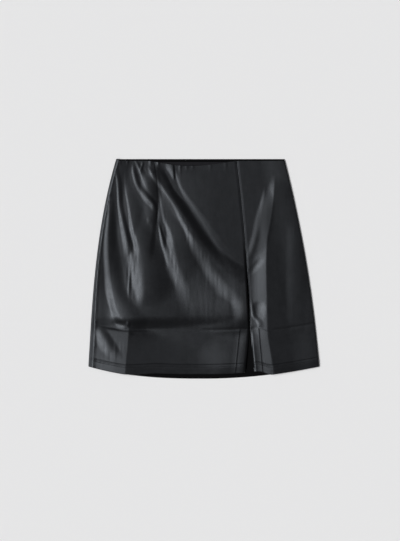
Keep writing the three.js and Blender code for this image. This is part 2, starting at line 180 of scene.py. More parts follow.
# Folds of the front, left to right, each a short table from its top to its bottom: y, the crest's
# x, its rise, and how far it slopes away to the left and to the right
foldColumns = ["y", "x", "rise", "left", "right"]
folds = {
    "side": [
        (180, -184.5, 0, 3, 6), (120, -188, 0.7, 5, 12), (60, -190, 1.7, 11, 20),
        (0, -187, 2.3, 14, 26), (-50, -181, 2.4, 16, 30), (-90, -169, 2.3, 15, 46),
        (-108, -157, 2.6, 19, 42), (-124, -150, 0, 24, 34),
    ],
    "second": [
        (212, -178, 0, 3, 6), (180, -172, 0.5, 4, 8), (120, -167, 0.95, 5.5, 9),
        (75, -157.5, 1.3, 9, 9), (38, -149, 1.2, 13, 11), (4, -144, 0, 16, 10),
    ],
    "third": [
        (214, -156, 0, 3.5, 6), (165, -154.5, 0.3, 5, 12), (120, -147.5, 0.8, 4.5, 28),
        (80, -139.5, 1.7, 9, 34), (42, -127, 2.5, 16, 44), (12, -119, 4.0, 38, 60),
        (-20, -117, 3.9, 31, 60), (-45, -117.5, 3.4, 24, 60), (-82, -121, 0, 16, 40),
    ],
    "waistSweep": [
        (214, -142, 0, 3, 5), (190, -139, 0.7, 5, 7), (165, -131, 0.7, 5.5, 8), (145, -116, 1.1, 8, 9),
        (128, -100, 1.6, 10, 6), (112, -95, 0, 9, 5),
    ],
    "waistSweep2": [
        (218, -137, 0.2, 3, 4), (200, -128.5, 0.6, 3.5, 8), (178, -120, 0.5, 4.5, 12),
        (160, -111, 0.15, 5, 9), (144, -98, 0, 6, 6),
    ],
    "waistFork": [
        (217, -121, 0, 3, 4), (207, -123, 0.5, 3.5, 4), (190, -128, 0, 3.5, 4),
    ],
    "waistSweep3": [
        (210, -112, 0, 3, 6), (192, -104.5, 0.3, 3.5, 6), (166, -94, 0, 4, 4),
    ],
    "dartLeft": [
        (208, -108, 0, 16, 12), (188, -106, 1.4, 20, 20), (160, -107, 1.6, 21, 22),
        (128, -103, 0.9, 20, 14), (98, -103, 1.0, 26, 10), (70, -105, 1.1, 34, 10),
        (40, -110, 0.8, 40, 12), (5, -114, 0, 40, 12),
    ],
    "dart": [
        (216, -99, -0.3, 2.5, 3), (190, -95, -0.3, 2.5, 4), (160, -92, -0.25, 2.5, 6),
        (130, -92, -0.35, 3, 8), (104, -93, -0.7, 4, 9), (82, -94.5, 0, 4, 8),
    ],
    "rightOfDart": [
        (172, -90, 0, 2.5, 4), (142, -85.5, 0.3, 3.5, 12), (105, -77.5, 0.75, 7, 20),
        (68, -62.5, 1.9, 12, 44), (38, -56, 3.1, 24, 60), (10, -49, 4.1, 28, 70),
        (-30, -30, 3.6, 31, 80), (-60, -22, 1.8, 34, 80), (-98, -10, 0, 36, 80),
    ],
    "fork": [
        (96, -90.5, 0, 2.5, 3), (74, -86, 0.8, 4, 4), (48, -80, 1.0, 6, 8), (20, -72, 0.6, 6, 9),
        (-10, -62, 0, 7, 8),
    ],
    "diagonal": [
        (188, -95, 0, 3, 10), (160, -79, 0.3, 4.5, 17), (128, -57, 0.7, 6.5, 22),
        (98, -41, 1.2, 9, 23), (66, -21, 2.5, 13, 24), (36, 2, 3.1, 24, 28), (12, 18, 3.0, 27, 42),
        (-14, 36, 2.9, 28, 70), (-42, 60, 2.7, 30, 100), (-60, 78, 2.6, 32, 90),
        (-80, 84, 2.4, 28, 60), (-100, 84, 1.9, 26, 60), (-121, 84, 0, 24, 60),
    ],
    "hipEdge": [
        (216, -99, 0, 16, 14), (190, -96, 1.4, 14, 26), (172, -87, 1.4, 9, 22), (158, -77, 1.3, 9, 18),
        (128, -56, 2.0, 26, 21), (98, -37, 1.9, 36, 22), (66, -17, 1.0, 50, 24), (30, 4, 0, 50, 24),
    ],
    "hollow": [
        (208, -88, 0, 8, 10), (190, -71, -0.8, 13, 16), (160, -55, -1.2, 14, 13),
        (120, -30, -1.1, 16, 17), (90, -8, -0.9, 16, 18), (60, 12, -0.6, 16, 20), (20, 36, 0, 16, 24),
    ],
    "plateau": [
        (216, -59, 0.5, 4, 40), (190, -54, 0.35, 5, 60), (160, -42, 0.1, 4.5, 70),
        (125, -19, 0.1, 5, 80), (90, 4, 0.2, 7, 80), (60, 24, 0.4, 10, 60), (38, 38, 0.6, 12, 50),
        (12, 54, 0.5, 14, 40), (-14, 68, 0, 14, 30),
    ],
    "waistWedge": [
        (215, -63, 0.8, 16, 4), (200, -61.5, 1.5, 15, 4), (184, -60, 1.0, 9, 4), (170, -59, 0, 5, 4),
    ],
    "rightSide": [
        (190, 142, 0, 8, 30), (150, 140, 2.2, 18, 60), (105, 135, 2.6, 24, 90),
        (60, 127, 2.7, 19, 110), (20, 125, 4.1, 29, 130), (-60, 126, 4.4, 34, 140),
        (-112, 127, 4.2, 34, 140), (-135, 128.5, 4.0, 35, 130), (-170, 134, 4.0, 39, 120),
        (-212, 141, 4.3, 43, 110),
    ],
    "rightStreak": [
        (168, 124, 0, 4, 10), (135, 121, 1.0, 9, 20), (105, 116, 1.2, 14, 24), (70, 109, 1.2, 14, 26),
        (40, 99, 1.0, 11, 24), (16, 92, 0, 8, 16),
    ],
    "rightHaze": [
        (120, 182, 0, 16, 20), (60, 181, 0.4, 18, 25), (-100, 181, 0.4, 18, 25),
        (-150, 181, 0, 16, 20),
    ],
    "stripShade": [
        (28, 119, 0, 6, 8), (13, 109, -0.5, 8, 10), (0, 99, -0.5, 8, 9), (-14, 91, 0, 6, 6),
    ],
    "slitPinch": [
        (-56, 94, 0, 3, 4), (-72, 96, 0.3, 3.5, 5), (-84, 98, 0.4, 4, 6), (-95, 100, 0.5, 4, 7),
        (-103, 107, 0.6, 4, 9), (-112, 111, 0.5, 4, 9), (-121, 113, 0, 4, 7),
    ],
    "slitFlapRight": [
        (-123, 96, 0, 3, 12), (-132, 97, 0.4, 3, 14), (-175, 101, 0.5, 3, 15), (-214, 105, 0.5, 3, 15),
    ],
    "slitFlapLeft": [
        (-121, 90, 0, 20, 3), (-132, 89, 1.1, 22, 3), (-175, 84.5, 1.3, 22, 3), (-214, 80, 1.3, 22, 3),
    ],
    "leftLow": [
        (-106, -149, 0, 40, 30), (-124, -149.5, 4.4, 80, 50), (-145, -151, 5.4, 82, 110),
        (-172, -153.5, 6.2, 82, 170), (-214, -157, 6.4, 78, 170),
    ],
    "leftLowShade": [
        (-112, -210, 0, 10, 12), (-136, -200, 1.6, 16, 16), (-160, -186, 1.3, 20, 16),
        (-182, -172, 0, 16, 14),
    ],
    "leftPinch": [
        (8, -148, 0, 3, 4), (-16, -148, 0.4, 4, 4), (-40, -149.5, 0.5, 3.5, 4), (-64, -150, 0, 3, 3),
    ],
}

# Folds whose crest is a crease rather than round: how much, on the left and on the right
creased = {
    "side": (0.2, 0), "dart": (1, 1), "rightSide": (0.55, 0.7), "leftLow": (0.4, 0.9),
    "leftPinch": (0.5, 0.5),
}

# Puffed and sunk places: centre, reach to each side and height
mounds = {
    "belly": {"x": 88, "y": -70, "left": 136, "right": 100, "up": 125, "down": 80, "rise": 10.2},
    "leftBelly": {"x": -132, "y": -92, "left": 90, "right": 205, "up": 110, "down": 30, "rise": 6.4},
    "hip": {"x": -135, "y": 125, "left": 62, "right": 90, "up": 110, "down": 120, "rise": 2.0},
    "middleSwell": {"x": -10, "y": 110, "left": 100, "right": 90, "up": 140, "down": 160, "rise": 1.2},
    "bandSwell": {"x": 64, "y": -176, "left": 80, "right": 50, "up": 50, "down": 60, "rise": 3.0},
    "pinchDip": {"x": 109, "y": -76, "left": 13, "right": 17, "up": 14, "down": 34, "rise": -1.0},
    "knot": {"x": -151, "y": -110, "left": 5, "right": 6, "up": 8, "down": 8, "rise": 0.8},
    "knotRight": {"x": -142, "y": -116, "left": 6, "right": 26, "up": 4, "down": 3, "rise": 0.4},
    "knotLeft": {"x": -158, "y": -117, "left": 16, "right": 6, "up": 3, "down": 4, "rise": 0.35},
    "knotDent": {"x": -138, "y": -129, "left": 10, "right": 16, "up": 4, "down": 5, "rise": -0.4},
    "dartBlob": {"x": -109, "y": 97, "left": 6, "right": 8, "up": 9, "down": 10, "rise": 0.3},
}

# What billows left of the slit seam comes down steeply to it
heldBySeam = {"pieces": ["belly", "diagonal"], "reach": 3.8}

# Small gathers hanging from the front waist edge: place, half width, length, height
gathers = [
    (-47, 4, 24, 0.35), (-34, 4, 13, 0.25), (-22, 4, 12, 0.25), (13, 5, 20, 0.2), (44, 5, 22, 0.2),
    (-167, 4, 14, 0.3), (-152, 3.5, 12, 0.35), (-106, 5, 14, 0.6), (-91, 4, 12, 0.7),
]


def alongFold(rows, column, down, level):
    # a smooth curve through one column of a fold's table, level at its ends if asked
    stations = rows[0][0] - rows[:, 0]
    values = rows[:, foldColumns.index(column)]
    tangents = np.gradient(values, stations)
    if level:
        tangents[0] = tangents[-1] = 0
    k = np.clip(np.searchsorted(stations, down, side="right") - 1, 0, len(rows) - 2)
    span = stations[k + 1] - stations[k]
    t = np.clip((down - stations[k]) / span, 0, 1)
    start, end = (1 + 2 * t) * (1 - t) ** 2, t * t * (3 - 2 * t)
    bendStart, bendEnd = t * (1 - t) ** 2, t * t * (t - 1)
    bend = bendStart * tangents[k] + bendEnd * tangents[k + 1]
    return start * values[k] + end * values[k + 1] + span * bend


def foldRise(table, x, y, sharp=(0, 0)):
    rows = np.array(table, dtype=float)
    down = rows[0][0] - y
    within = (down >= 0) & (y >= rows[-1][0])
    place = alongFold(rows, "x", down, False)
    lean = (alongFold(rows, "x", down + 1, False) - alongFold(rows, "x", down - 1, False)) / 2
    across = (x - place) / np.hypot(1, lean)
    onLeft = across < 0
    reach = np.where(onLeft, alongFold(rows, "left", down, True), alongFold(rows, "right", down, True))
    distance = across / np.maximum(reach, 1)
    profile = lerp(hill(distance), crease(distance), np.where(onLeft, *sharp))
    return alongFold(rows, "rise", down, True) * profile * within


def moundRise(mound, x, y):
    across = (x - mound["x"]) / np.where(x < mound["x"], mound["left"], mound["right"])
    down = (y - mound["y"]) / np.where(y > mound["y"], mound["up"], mound["down"])
    return mound["rise"] * hill(np.hypot(across, down))


noiseCells = 160


def softNoise(x, y, cellX, cellY, seed):   # smooth random bumps from -1 to 1, cells in mm
    lattice = np.random.default_rng(seed).uniform(-1, 1, (noiseCells, noiseCells))
    u, v = x / cellX + noiseCells / 2, y / cellY + noiseCells / 2
    i, j = (np.floor(w).astype(int) % (noiseCells - 1) for w in (u, v))
    s, t = ease(u - np.floor(u)), ease(v - np.floor(v))
    low = lerp(lattice[i, j], lattice[i + 1, j], s)
    high = lerp(lattice[i, j + 1], lattice[i + 1, j + 1], s)
    return lerp(low, high, t)


# Fine streaks down the cloth: heights, the noise that breaks them up as cell width, cell length
# and seed, and where the folds and the belly carry them, as tables like theirs
ripples = {
    "flat": 0.012,
    "blotch": 0.045,
    "bellyShare": 0.3,
    "fineCells": (3.6, 26, 3),
    "bellyCells": (8, 60, 11),
    "blotchCells": (15, 19, 5),
}
streakedBelly = {"x": 5, "y": -55, "left": 105, "right": 105, "up": 95, "down": 95, "rise": 0.1}
streaks = [
    [
        (110, -150, 0, 16, 14), (50, -143, 0.17, 20, 18), (0, -140, 0.2, 24, 20),
        (-50, -137, 0.17, 20, 18), (-85, -136, 0, 16, 14),
    ],
    [(130, -82, 0, 8, 10), (60, -69, 0.18, 16, 14), (10, -58, 0.22, 20, 20), (-60, -48, 0, 20, 24)],
    [(130, -50, 0, 8, 8), (70, -30, 0.12, 16, 14), (10, 8, 0.12, 24, 24), (-50, 36, 0, 26, 24)],
    [(-124, -180, 0, 30, 26), (-160, -182, 0.16, 30, 28), (-200, -184, 0, 30, 28)],
]


def rippleRise(x, y):
    folded = sum(foldRise(table, x, y) for table in streaks)
    puffed = moundRise(streakedBelly, x, y)
    carried = ripples["flat"] + folded + ripples["bellyShare"] * puffed
    fine = softNoise(x, y, *ripples["fineCells"]) * carried
    broad = puffed * softNoise(x, y, *ripples["bellyCells"])
    return fine + broad + softNoise(x, y, *ripples["blotchCells"]) * ripples["blotch"]


# The slit seam is pulled in. At its left it widens below the given height.
seamPull = {"depth": 1.4, "right": 4, "left": 4, "leftLow": 5, "widensFrom": 60, "widensOver": 60}


def seamDip(x, y):
    low = ease((seamPull["widensFrom"] - y) / seamPull["widensOver"])
    reachLeft = lerp(seamPull["left"], seamPull["leftLow"], low)
    left = seamPull["depth"] * crease(np.minimum(0, x - slitLeftEdge(y)) / reachLeft)
    right = seamPull["depth"] * crease(np.maximum(0, x - slitRightEdge(y)) / seamPull["right"])
    return np.where(x < slitSeam(y), left, right)


stitchLines = {"heights": (14.5, 19.5), "groove": 0.45, "reach": 1.3}
slitFrame = {
    "left": 20.5, "right": 16.5, "inset": 1, "tackFrom": 2, "tackTo": 16, "tackDrop": 6.5,
    "foot": 3, "middle": 80, "sidePoints": 60, "topPoints": 20,
}


def stitchGroove(x, y):    # the hem rows pull narrow grooves into the cloth
    above = y - frontHem(x)
    rows = sum(crease((above - line) / stitchLines["reach"]) for line in stitchLines["heights"])
    return stitchLines["groove"] * rows


slitRidge = {"rise": 0.32, "left": 8, "right": 1.7}


def slitRidgeRise(x, y):   # along the frame's two rows the cloth rises to the stitches and drops
    rise = 0
    for across in (x - slitLeftEdge(y) + slitFrame["left"], x - slitRightEdge(y) - slitFrame["right"]):
        reach = np.where(across < 0, slitRidge["left"], slitRidge["right"])
        rise = rise + 1 - np.clip(np.abs(across / reach), 0, 1)
    belowLine = ease((skirt["hemLine"] + 1 - y + frontHem(x)) / 2)
    return slitRidge["rise"] * rise * belowLine


hemRoll = {"place": 15, "up": 45, "down": 15, "rise": 0.5, "thinning": 0.3}


def hemRollRise(x, y):     # the turned-up hem stands a little and thins towards its edge
    above = y - frontHem(x)
    offset = above - hemRoll["place"]
    roll = hill(offset / np.where(offset > 0, hemRoll["up"], hemRoll["down"]))
    return hemRoll["rise"] * roll - hemRoll["thinning"] * np.clip(-offset / hemRoll["place"], 0, 1)


sidePucker = {"rise": 0.38, "uneven": 0.5, "left": 3, "right": 6, "cells": (1, 7, 23)}


def sideSeamRise(x, y):    # the side seam stands up in small puckers
    across = x - leftSeam(y)
    rise = sidePucker["rise"] * (1 + sidePucker["uneven"] * softNoise(0 * x, y, *sidePucker["cells"]))
    return rise * crease(across / np.where(across < 0, sidePucker["left"], sidePucker["right"]))


pressedLine = {"depth": 0.5, "above": 7, "below": 5}


def hemLineDip(x, y):      # the line pressed into the front above the hem
    offset = y - frontHem(x) - skirt["hemLine"]
    reach = np.where(offset > 0, pressedLine["above"], pressedLine["below"])
    return pressedLine["depth"] * crease(offset / reach)


# How far the cloth takes to thin above its turned hem, and a top layer to come down off the facing
# and off the back hem
easing = {"hemTurn": 4, "facing": 70, "backHem": 40}


def clothWall(aboveHem):   # thicker where the hem is turned up
    thinned = ease((aboveHem - skirt["hemTurn"]) / easing["hemTurn"] + 1)
    return lerp(skirt["hemWall"], skirt["wall"], thinned)


def seat(x, y):            # lowest height of the underside of a top layer
    facingLow = waistY - facing["below"] - facing["height"]
    overFacing = ease((y - (facingLow - easing["facing"])) / easing["facing"])
    overHem = 1 - ease((y - backHem(x) - skirt["hemTurn"]) / easing["backHem"])
    layer = facing["thickness"] + skirt["seamGap"]
    turned = overHem * (skirt["hemWall"] - skirt["wall"])
    return skirt["wall"] + skirt["seamGap"] + overFacing * layer + turned


# The front comes down from both side folds. Below the pressed line the left one is lower and wider.
sideSlope = {
    "left": 30,
    "leftLow": 60,
    "widensFrom": -100,
    "widensOver": 25,
    "leftLowRise": 0.6,
    "sinksFrom": -95,
    "sinksOver": 40,
    "right": 50,
}
looseness = 0.2


def topHeight(x, y):
    resting = seat(x, y) + clothWall(y - frontHem(x)) + looseness
    flat = 2 * skirt["wall"] + skirt["seamGap"] + looseness
    widened = ease((sideSlope["widensFrom"] - y) / sideSlope["widensOver"])
    nearLeft = 1 - ease((x - leftSeam(y)) / lerp(sideSlope["left"], sideSlope["leftLow"], widened))
    nearRight = 1 - ease((rightEdge(y) - skirt["sideFoldRadius"] - x) / sideSlope["right"])
    rises = {name: foldRise(table, x, y, creased.get(name, (0, 0))) for name, table in folds.items()}
    rises.update({name: moundRise(mound, x, y) for name, mound in mounds.items()})
    for name in heldBySeam["pieces"]:
        rises[name] = rises[name] * ease((slitLeftEdge(y) - x) / heldBySeam["reach"])
    raised = sum(rises.values())
    for place, reach, length, rise in gathers:
        down = (frontTop(x) - y) / length
        raised = raised + rise * hill((x - place) / reach) * ease(1 - down)
    sunk = ease((sideSlope["sinksFrom"] - y) / sideSlope["sinksOver"])
    leftFold = lerp(skirt["leftFoldHeight"] - flat, sideSlope["leftLowRise"], sunk)
    sides = leftFold * nearLeft + (skirt["rightFoldHeight"] - flat) * nearRight
    height = resting + sides + raised + rippleRise(x, y) + hemRollRise(x, y)
    height = height + sideSeamRise(x, y) + slitRidgeRise(x, y)
    height = height - seamDip(x, y) - hemLineDip(x, y) - stitchGroove(x, y)
    return np.maximum(height, resting - looseness)


def underHeight(x, y, top):   # one wall down, measured square to the slope
    step = 0.5
    slopeX = (topHeight(x + step, y) - topHeight(x - step, y)) / (2 * step)
    slopeY = (topHeight(x, y + step) - topHeight(x, y - step)) / (2 * step)
    thickness = clothWall(y - frontHem(x)) * np.sqrt(1 + slopeX ** 2 + slopeY ** 2)
    return np.maximum(top - thickness, seat(x, y))


# Rows and columns of a panel, as a share of its size plus a few mm, so that its rolled edges
# get lines of their own close to each edge
edgeLines = np.array([0, 0.12, 0.4, 0.9, 1.6])
lineGap = 1.2
firstLine = edgeLines[-1] + lineGap   # where the plain lines begin


def gridLines(count):
    share = np.linspace(0, 1, count)
    offset = lerp(firstLine, -firstLine, share)
    share = np.r_[0 * edgeLines, share, 0 * edgeLines + 1]
    offset = np.r_[edgeLines, offset, -edgeLines[::-1]]
    return share, offset


def settle(place, lines, top, hem):   # x hangs on y by the sides and y on x by the hem
    share, offset = (values[:, None] for values in lines)
    y = lerp(waistY, cornerY, share) - offset
    rounds = 5
    for _ in range(rounds):
        x = place(y)
        y = lerp(top(x), hem(x), share) - offset
    return x, y


# In reaches of a stitched groove: the lines across it, and how clear the plain lines stay
grooveLines = np.array([-1, -0.5, 0, 0.5, 1])
slitGrooveLines = np.array([-1.6, -1, -0.5, 0, 0.5, 1, 1.6])
grooveClear = 1.4


def frontLines(count):     # as gridLines, with rows that follow the pressed line and the stitches
    upper = int(count * panelGrid["rowsAboveLine"])
    upperShare = np.linspace(0, 1, upper)
    hemHeights = np.linspace(skirt["hemLine"], firstLine, count - upper)[1:]
    for line in stitchLines["heights"]:
        near = line + stitchLines["reach"] * grooveLines
        clear = np.abs(hemHeights - line) > grooveClear * stitchLines["reach"]
        hemHeights = np.r_[hemHeights[clear], near]
    hemHeights = np.r_[-np.sort(-hemHeights), edgeLines[::-1]]
    share = np.r_[0 * edgeLines, upperShare, 0 * hemHeights + 1]
    offset = np.r_[edgeLines, lerp(firstLine, -skirt["hemLine"], upperShare), -hemHeights]
    return share, offset


def besideSlit(stitched):  # distances from the slit edge: its roll, plain lines, the stitched line
    near = stitched + stitchLines["reach"] * slitGrooveLines
    plain = np.linspace(firstLine, near[0] - lineGap, panelGrid["slitColumns"])
    return np.r_[edgeLines, plain, near]


rollStop = 0.08            # share of the radius at which a rolled edge ends, short of upright


def rolled(distance, radius):   # how far a rolled edge has dropped, by the distance from it
    inside = np.clip(radius - distance, 0, radius)
    return radius - np.sqrt(np.maximum(radius ** 2 - inside ** 2, (rollStop * radius) ** 2))


def shellMesh(name, outer, inner, materials, innerSlot):
    # outer and inner hold x, y, z grids. The wall closes round their four borders.
    rows, columns = outer[0].shape
    points = np.empty((rows, columns, 2, 3))
    for side, grids in enumerate((outer, inner)):
        for axis in range(3):
            points[:, :, side, axis] = grids[axis] * mm
    index = np.arange(rows * columns * 2).reshape(rows, columns, 2)

    def quads(a, b, c, d):
        return np.stack([a, b, c, d], axis=-1).reshape(-1, 4)

    o, n = index[:, :, 0], index[:, :, 1]
    top = quads(o[:-1, :-1], o[1:, :-1], o[1:, 1:], o[:-1, 1:])
    under = quads(n[:-1, :-1], n[:-1, 1:], n[1:, 1:], n[1:, :-1])
    border = [
        quads(o[0, :-1], o[0, 1:], n[0, 1:], n[0, :-1]),
        quads(o[-1, 1:], o[-1, :-1], n[-1, :-1], n[-1, 1:]),
        quads(o[:-1, 0], n[:-1, 0], n[1:, 0], o[1:, 0]),
        quads(o[1:, -1], n[1:, -1], n[:-1, -1], o[:-1, -1]),
    ]
    faces = np.concatenate([top, under, *border])
    mesh = bpy.data.meshes.new(name)
    mesh.vertices.add(points.size // 3)
    mesh.vertices.foreach_set("co", points.ravel())
    mesh.loops.add(faces.size)
    mesh.loops.foreach_set("vertex_index", faces.ravel())
    mesh.polygons.add(len(faces))
    mesh.polygons.foreach_set("loop_start", np.arange(0, faces.size, 4))
    slots = np.zeros(len(faces), dtype=int)
    slots[len(top):len(top) + len(under)] = np.ravel(innerSlot)
    mesh.polygons.foreach_set("material_index", slots)
    mesh.update(calc_edges=True)
    mesh.validate()
    mesh.shade_smooth()
    for material in materials:
        mesh.materials.append(material)
    piece = bpy.data.objects.new(name, mesh)
    bpy.context.collection.objects.link(piece)
    return piece


# Finishes
def newMaterial(name):
    material = bpy.data.materials.new(name)
    material.use_nodes = True
    nodes, links = material.node_tree.nodes, material.node_tree.links
    return material, nodes, links, nodes["Principled BSDF"]


def addNode(nodes, kind, **values):
    node = nodes.new(kind)
    for key, value in values.items():
        if key in node.inputs:
            node.inputs[key].default_value = value
        else:
            setattr(node, key, value)
    return node


def colourRamp(nodes, stops):
    ramp = nodes.new("ShaderNodeValToRGB")
    elements = ramp.color_ramp.elements
    for element, (position, colour) in zip(elements, (stops[0], stops[-1])):
        element.position, element.color = position, (*colour, 1)
    for position, colour in stops[1:-1]:
        elements.new(position).color = (*colour, 1)
    return ramp


leather = {
    "dark": (0.0035, 0.0035, 0.0040),
    "middle": (0.0045, 0.0045, 0.0052),
    "light": (0.0058, 0.0058, 0.0068),
    "blotches": 38,           # this and the next three are cells a metre
    "wear": 120,
    "crinkles": 260,
    "grain": 1100,
    "crinkleDepth": 0.0002,
    "grainDepth": 0.00008,
    "reliefStrength": 0.15,
    "roughLow": 0.29,
    "roughHigh": 0.37,
    "specular": 0.3,
    "sheenTint": (0.86, 0.92, 1.0),
}


def makeLeather():
    material, nodes, links, shader = newMaterial("coatedLeather")
    place = nodes.new("ShaderNodeTexCoord")
    blotch = addNode(nodes, "ShaderNodeTexNoise", Scale=leather["blotches"], Detail=4.0, Roughness=0.6)
    tint = colourRamp(nodes, [(0.3, leather["dark"]), (0.52, leather["middle"]), (0.78, leather["light"])])
    links.new(place.outputs["Object"], blotch.inputs["Vector"])
    links.new(blotch.outputs["Fac"], tint.inputs["Fac"])
    links.new(tint.outputs["Color"], shader.inputs["Base Color"])
    rough = addNode(nodes, "ShaderNodeMapRange", **{
        "From Min": 0.3, "From Max": 0.7, "To Min": leather["roughLow"], "To Max": leather["roughHigh"]})
    wear = addNode(nodes, "ShaderNodeTexNoise", Scale=leather["wear"], Detail=5.0, Roughness=0.65)
    links.new(place.outputs["Object"], wear.inputs["Vector"])
    links.new(wear.outputs["Fac"], rough.inputs["Value"])
    links.new(rough.outputs["Result"], shader.inputs["Roughness"])
    shader.inputs["Specular IOR Level"].default_value = leather["specular"]
    shader.inputs["Specular Tint"].default_value = (*leather["sheenTint"], 1)
    cells = addNode(nodes, "ShaderNodeTexVoronoi", feature="SMOOTH_F1", Scale=leather["grain"])
    links.new(place.outputs["Object"], cells.inputs["Vector"])
    grain = addNode(nodes, "ShaderNodeBump", Strength=leather["reliefStrength"],
                    Distance=leather["grainDepth"])
    links.new(cells.outputs["Distance"], grain.inputs["Height"])
    uneven = addNode(nodes, "ShaderNodeTexNoise", Scale=leather["crinkles"], Detail=3.0, Roughness=0.5)
    links.new(place.outputs["Object"], uneven.inputs["Vector"])
    crinkle = addNode(nodes, "ShaderNodeBump", Strength=leather["reliefStrength"],
                      Distance=leather["crinkleDepth"])
    links.new(uneven.outputs["Fac"], crinkle.inputs["Height"])
    links.new(grain.outputs["Normal"], crinkle.inputs["Normal"])
    links.new(crinkle.outputs["Normal"], shader.inputs["Normal"])
    return material


knit = {
    "ribs": 140,              # a metre
    "ribDepth": 0.0002,
    "roughness": 0.95,
    "specular": 0.1,
    # the backing is painted near black, as painted shade on the inside seen down the slit
    "shadedBacking": ((0.0010, 0.0010, 0.0012), (0.0030, 0.0030, 0.0036)),
    # the facing is painted lighter than the backing, as a painted sheen on the waist facing
    "facing": ((0.007, 0.007, 0.008), (0.018, 0.018, 0.021)),
}


def makeKnit(name, dark, light):   # the matt knitted back of the cloth
    material, nodes, links, shader = newMaterial(name)
    place = nodes.new("ShaderNodeTexCoord")
    ribs = addNode(nodes, "ShaderNodeTexWave", Scale=knit["ribs"], Distortion=1.2, Detail=2.0)
    links.new(place.outputs["Object"], ribs.inputs["Vector"])
    tint = colourRamp(nodes, [(0.2, dark), (0.8, light)])
    links.new(ribs.outputs["Fac"], tint.inputs["Fac"])
    links.new(tint.outputs["Color"], shader.inputs["Base Color"])
    bump = addNode(nodes, "ShaderNodeBump", Strength=0.5, Distance=knit["ribDepth"])
    links.new(ribs.outputs["Fac"], bump.inputs["Height"])
    links.new(bump.outputs["Normal"], shader.inputs["Normal"])
    shader.inputs["Roughness"].default_value = knit["roughness"]
    shader.inputs["Specular IOR Level"].default_value = knit["specular"]
    return material


thread = {
    "twists": 1500,           # a metre
    "dark": (0.0015, 0.0015, 0.0018),
    "light": (0.005, 0.005, 0.006),
    "roughness": 0.9,
    "specular": 0.03,
}


def makeThread():
    material, nodes, links, shader = newMaterial("sewingThread")
    place = nodes.new("ShaderNodeTexCoord")
    twist = addNode(nodes, "ShaderNodeTexNoise", Scale=thread["twists"], Detail=2.0)
    links.new(place.outputs["Object"], twist.inputs["Vector"])
    tint = colourRamp(nodes, [(0.3, thread["dark"]), (0.7, thread["light"])])
    links.new(twist.outputs["Fac"], tint.inputs["Fac"])
    links.new(tint.outputs["Color"], shader.inputs["Base Color"])
    shader.inputs["Roughness"].default_value = thread["roughness"]
    shader.inputs["Specular IOR Level"].default_value = thread["specular"]
    return material


coatedLeather = makeLeather()
# the backing copy of the knit is painted dark, as painted shade
shadedKnitBacking = makeKnit("shadedKnitBacking", *knit["shadedBacking"])
# the facing copy of the knit is painted lighter, as a painted sheen
litFacingKnit = makeKnit("litFacingKnit", *knit["facing"])
sewingThread = makeThread()
print("finishes made")


# Panels
def finishPanel(piece, node):
    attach(piece, "root")
    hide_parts(node)
    return piece


def underSlots(x, y):      # the turned-up hem shows the leather face on the inside
    middleY = (y[:-1, :-1] + y[1:, 1:]) / 2
    middleX = (x[:-1, :-1] + x[1:, 1:]) / 2
    return np.where(middleY - frontHem(middleX) < skirt["hemTurn"], 0, 1)


panelGrid = {
    "frontColumns": 190,
    "columnLean": 1.15,       # above 1 the columns lie closer over the folds at the left
    "sideColumns": 70,
    "slitColumns": 10,
    "rows": 195,
    "rowsAboveLine": 0.76,
    "edgeRadius": 0.55,
    "seamRadius": 0.35,
    "edgeShare": 0.48,        # the most of a wall that one rolled edge takes
}

# Steps round half a side fold and round a whole one, and the degrees off its outermost line at
# which the panels meet
foldGrid = {"halfSteps": 12, "wholeSteps": 22, "meetAngle": 3}


def frontPiece(place, freeEdge):
    x, y = settle(place, frontLines(panelGrid["rows"]), frontTop, frontHem)
    top = topHeight(x, y)
    under = underHeight(x, y, top)
    most = panelGrid["edgeShare"] * (top - under)
    radius = np.minimum(panelGrid["edgeRadius"], most)
    drop = rolled(frontTop(x) - y, radius) + rolled(y - frontHem(x), most) + freeEdge(x, y)
    drop = np.minimum(drop, most)
    return x, y, top - drop, under + drop


def makeFrontPanel():
    slitLines = besideSlit(slitFrame["left"])
    share = np.linspace(0, 1, panelGrid["frontColumns"]) ** panelGrid["columnLean"]
    offset = np.r_[edgeLines, lerp(firstLine, -slitLines[-1] - lineGap, share), -slitLines[::-1]]
    share = np.r_[0 * edgeLines, share, 0 * slitLines + 1]

    def place(y):
        left = leftSeam(y) + skirt["seamGap"] / 2
        return lerp(left, slitLeftEdge(y), share) + offset

    def edges(x, y):
        atSlit = rolled(slitLeftEdge(y) - x, panelGrid["edgeRadius"])
        return atSlit + rolled(x - leftSeam(y) - skirt["seamGap"] / 2, panelGrid["seamRadius"])

    x, y, top, under = frontPiece(place, edges)
    finishes = [coatedLeather, shadedKnitBacking]
    piece = shellMesh("frontPanel", (x, y, top), (x, y, under), finishes, underSlots(x, y))
    return finishPanel(piece, "front_panel")


